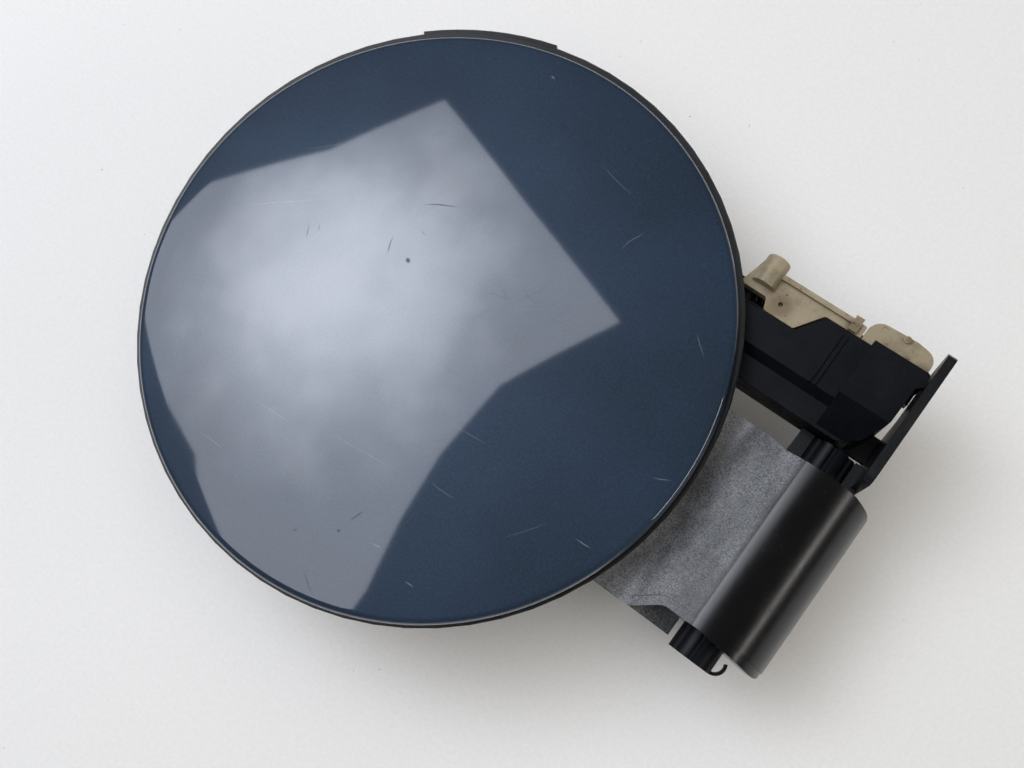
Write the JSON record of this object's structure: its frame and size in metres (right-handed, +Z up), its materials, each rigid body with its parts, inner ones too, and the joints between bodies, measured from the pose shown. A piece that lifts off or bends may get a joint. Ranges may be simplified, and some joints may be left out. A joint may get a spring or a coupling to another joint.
{
  "type": "fuel filler flap",
  "caption": "Round painted fuel filler flap on a sprung gooseneck hinge arm, with its mounting bracket and a lock housing that carries a sliding nylon catch.",
  "frame": {"origin": "on the bracket's mounting face, midway between its two mounting holes", "axes": "+X out of the mounting face and away from the flap, +Y along the hinge axis towards the lock housing, +Z up through the closed flap's painted side"},
  "size_m": [0.2104, 0.1692, 0.0582],
  "materials": {
    "paint": "dark blue metallic enamel, glossy, scratched",
    "black_moulding": "moulded black plastic, scuffed satin",
    "housing": "moulded black plastic, satin",
    "nylon": "natural nylon, stained",
    "rubber": "matt black",
    "spring_steel": "drawn wire",
    "screw": "zinc plated"
  },
  "bodies": {
    "bracket": {"mounting_bracket": "black_moulding", "hinge_spindle": "housing", "housing_base": "housing", "housing_cover": "housing", "housing_screw_1": "screw", "housing_screw_2": "screw", "housing_screw_3": "screw", "shelf_screw": "screw", "wing_screw": "screw", "slide_guide": "nylon", "slide_spring": "spring_steel"},
    "flap": {"flap_skin": "paint", "inner_panel": "black_moulding", "hinge_arm": "black_moulding", "arm_screw_1": "screw", "arm_screw_2": "screw", "arm_screw_3": "screw", "arm_screw_4": "screw", "stop_buffer_1": "rubber", "stop_buffer_2": "rubber", "closing_spring": "spring_steel"},
    "slide": {"lock_slide": "nylon"}
  },
  "joints": [
    {"name": "flap_hinge", "type": "hinge", "parent": "bracket", "child": "flap", "pos_m": [-0.011, 0, 0.026], "axis": [0, 1, 0], "range_deg": [0, 95], "stiffness_Nm_per_rad": 0.05, "springref_deg": -57.3, "deforming": ["closing_spring"]},
    {"name": "lock_slide_travel", "type": "slide", "parent": "bracket", "child": "slide", "axis": [-1, 0, 0], "range_m": [0, 0.008], "stiffness_N_per_m": 200, "springref_m": -0.004, "deforming": ["slide_spring"]}
  ]
}
